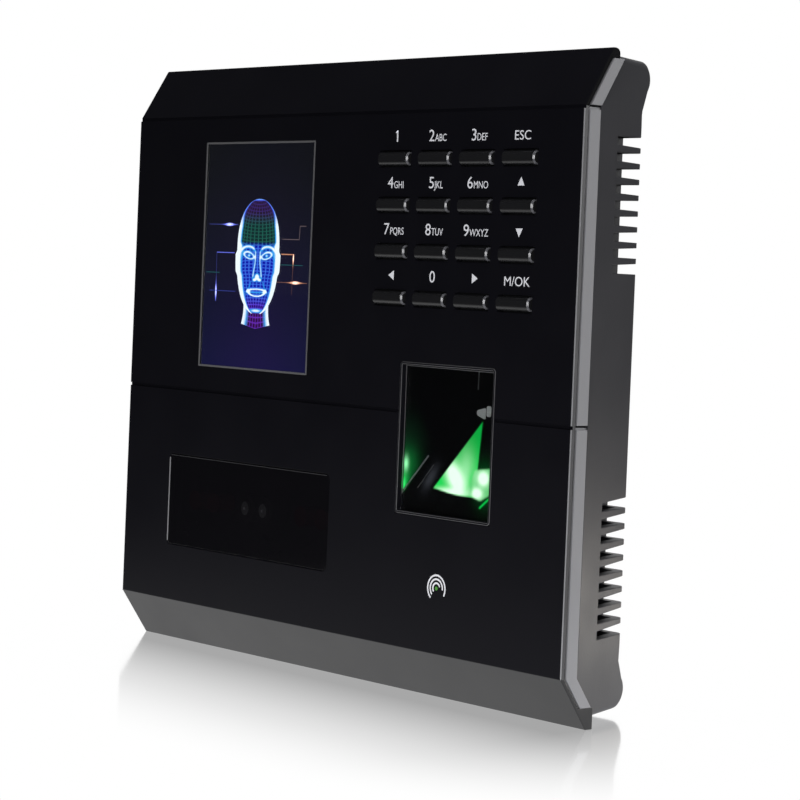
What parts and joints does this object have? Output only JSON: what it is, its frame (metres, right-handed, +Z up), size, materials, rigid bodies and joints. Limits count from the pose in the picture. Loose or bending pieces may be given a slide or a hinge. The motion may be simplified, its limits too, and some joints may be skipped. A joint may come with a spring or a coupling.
{
  "type": "fingerprint access terminal",
  "caption": "Wall-hung access terminal with a colour screen, slim keys, an optical fingerprint sensor and a dark camera window, hooked on a steel wall plate.",
  "frame": {"origin": "centre of the wall plate's four screw holes, on the wall plane", "axes": "+X to the right of a person facing the screen, +Y into the wall, +Z up"},
  "size_m": [0.1676, 0.0332, 0.149],
  "materials": {
    "cover_black": "fine satin black moulding",
    "keycap": "polished black, slightly crowned",
    "strip_grey": "satin mid-grey paint",
    "casing_grey": "fine-textured dark grey moulding",
    "trim_grey": "satin grey",
    "screen_glass": "clear cover glass",
    "screen_panel": "lit colour panel in a dark tray",
    "flex": "amber flexible circuit",
    "silicone": "grey silicone",
    "board": "green solder mask",
    "prism": "polished optical glass",
    "black_plastic": "black moulding",
    "window": "dark infrared-passing acrylic",
    "lens": "coated lens in a black barrel",
    "lamp": "dark red epoxy",
    "steel": "plain steel",
    "brass": "plain brass",
    "relay_blue": "blue moulding",
    "header_white": "off-white moulding",
    "button_red": "red moulding",
    "plunger_white": "white moulding",
    "plate_steel": "grey powder coat"
  },
  "bodies": {
    "wall_plate": {"wall_plate": "plate_steel"},
    "terminal": {"front_cover": "cover_black", "screen_frame": "trim_grey", "screen_glass": "screen_glass", "screen_panel": "screen_panel", "screen_ribbon": "flex", "key_membrane": "silicone", "key_board": "board", "key_ribbon": "flex", "sensor_frame": "trim_grey", "sensor_prism": "prism", "sensor_housing": "black_plastic", "sensor_light_board": "board", "sensor_imager": "black_plastic", "camera_window": "window", "camera_board": "board", "camera_left": "lens", "camera_right": "lens", "infrared_lamps": "lamp", "mid_frame": "strip_grey", "rear_casing": "casing_grey", "main_board": "board", "board_screws": "steel", "processor_shield": "steel", "coin_cell": "steel", "coin_cell_holder": "black_plastic", "lock_relay": "relay_blue", "speaker": "black_plastic", "wire_headers": "header_white", "network_socket": "steel", "usb_socket": "steel", "reset_switch": "black_plastic", "tamper_switch": "black_plastic", "case_screws": "steel", "lock_insert": "brass", "locking_screw": "steel"},
    "cap_1": {"key_1": "keycap"},
    "cap_2": {"key_2": "keycap"},
    "cap_3": {"key_3": "keycap"},
    "cap_escape": {"key_escape": "keycap"},
    "cap_4": {"key_4": "keycap"},
    "cap_5": {"key_5": "keycap"},
    "cap_6": {"key_6": "keycap"},
    "cap_up": {"key_up": "keycap"},
    "cap_7": {"key_7": "keycap"},
    "cap_8": {"key_8": "keycap"},
    "cap_9": {"key_9": "keycap"},
    "cap_down": {"key_down": "keycap"},
    "cap_left": {"key_left": "keycap"},
    "cap_0": {"key_0": "keycap"},
    "cap_right": {"key_right": "keycap"},
    "cap_menu": {"key_menu": "keycap"},
    "reset_button": {"reset_button": "button_red"},
    "tamper_plunger": {"tamper_plunger": "plunger_white"}
  },
  "joints": [
    {"name": "lift_off", "type": "slide", "parent": "wall_plate", "child": "terminal", "axis": [0, 0, 1], "range_m": [0, 0.006]},
    {"name": "press_1", "type": "slide", "parent": "terminal", "child": "cap_1", "axis": [0, 1, 0], "range_m": [0, 0.0008], "stiffness_N_per_m": 500, "springref_m": -0.0006},
    {"name": "press_2", "type": "slide", "parent": "terminal", "child": "cap_2", "axis": [0, 1, 0], "range_m": [0, 0.0008], "stiffness_N_per_m": 500, "springref_m": -0.0006},
    {"name": "press_3", "type": "slide", "parent": "terminal", "child": "cap_3", "axis": [0, 1, 0], "range_m": [0, 0.0008], "stiffness_N_per_m": 500, "springref_m": -0.0006},
    {"name": "press_escape", "type": "slide", "parent": "terminal", "child": "cap_escape", "axis": [0, 1, 0], "range_m": [0, 0.0008], "stiffness_N_per_m": 500, "springref_m": -0.0006},
    {"name": "press_4", "type": "slide", "parent": "terminal", "child": "cap_4", "axis": [0, 1, 0], "range_m": [0, 0.0008], "stiffness_N_per_m": 500, "springref_m": -0.0006},
    {"name": "press_5", "type": "slide", "parent": "terminal", "child": "cap_5", "axis": [0, 1, 0], "range_m": [0, 0.0008], "stiffness_N_per_m": 500, "springref_m": -0.0006},
    {"name": "press_6", "type": "slide", "parent": "terminal", "child": "cap_6", "axis": [0, 1, 0], "range_m": [0, 0.0008], "stiffness_N_per_m": 500, "springref_m": -0.0006},
    {"name": "press_up", "type": "slide", "parent": "terminal", "child": "cap_up", "axis": [0, 1, 0], "range_m": [0, 0.0008], "stiffness_N_per_m": 500, "springref_m": -0.0006},
    {"name": "press_7", "type": "slide", "parent": "terminal", "child": "cap_7", "axis": [0, 1, 0], "range_m": [0, 0.0008], "stiffness_N_per_m": 500, "springref_m": -0.0006},
    {"name": "press_8", "type": "slide", "parent": "terminal", "child": "cap_8", "axis": [0, 1, 0], "range_m": [0, 0.0008], "stiffness_N_per_m": 500, "springref_m": -0.0006},
    {"name": "press_9", "type": "slide", "parent": "terminal", "child": "cap_9", "axis": [0, 1, 0], "range_m": [0, 0.0008], "stiffness_N_per_m": 500, "springref_m": -0.0006},
    {"name": "press_down", "type": "slide", "parent": "terminal", "child": "cap_down", "axis": [0, 1, 0], "range_m": [0, 0.0008], "stiffness_N_per_m": 500, "springref_m": -0.0006},
    {"name": "press_left", "type": "slide", "parent": "terminal", "child": "cap_left", "axis": [0, 1, 0], "range_m": [0, 0.0008], "stiffness_N_per_m": 500, "springref_m": -0.0006},
    {"name": "press_0", "type": "slide", "parent": "terminal", "child": "cap_0", "axis": [0, 1, 0], "range_m": [0, 0.0008], "stiffness_N_per_m": 500, "springref_m": -0.0006},
    {"name": "press_right", "type": "slide", "parent": "terminal", "child": "cap_right", "axis": [0, 1, 0], "range_m": [0, 0.0008], "stiffness_N_per_m": 500, "springref_m": -0.0006},
    {"name": "press_menu", "type": "slide", "parent": "terminal", "child": "cap_menu", "axis": [0, 1, 0], "range_m": [0, 0.0008], "stiffness_N_per_m": 500, "springref_m": -0.0006},
    {"name": "press_reset", "type": "slide", "parent": "terminal", "child": "reset_button", "axis": [0, -1, 0], "range_m": [0, 0.0005], "stiffness_N_per_m": 500, "springref_m": -0.0006},
    {"name": "tamper_press", "type": "slide", "parent": "terminal", "child": "tamper_plunger", "axis": [0, -1, 0], "range_m": [0, 0.0015], "stiffness_N_per_m": 300, "springref_m": -0.0008}
  ]
}
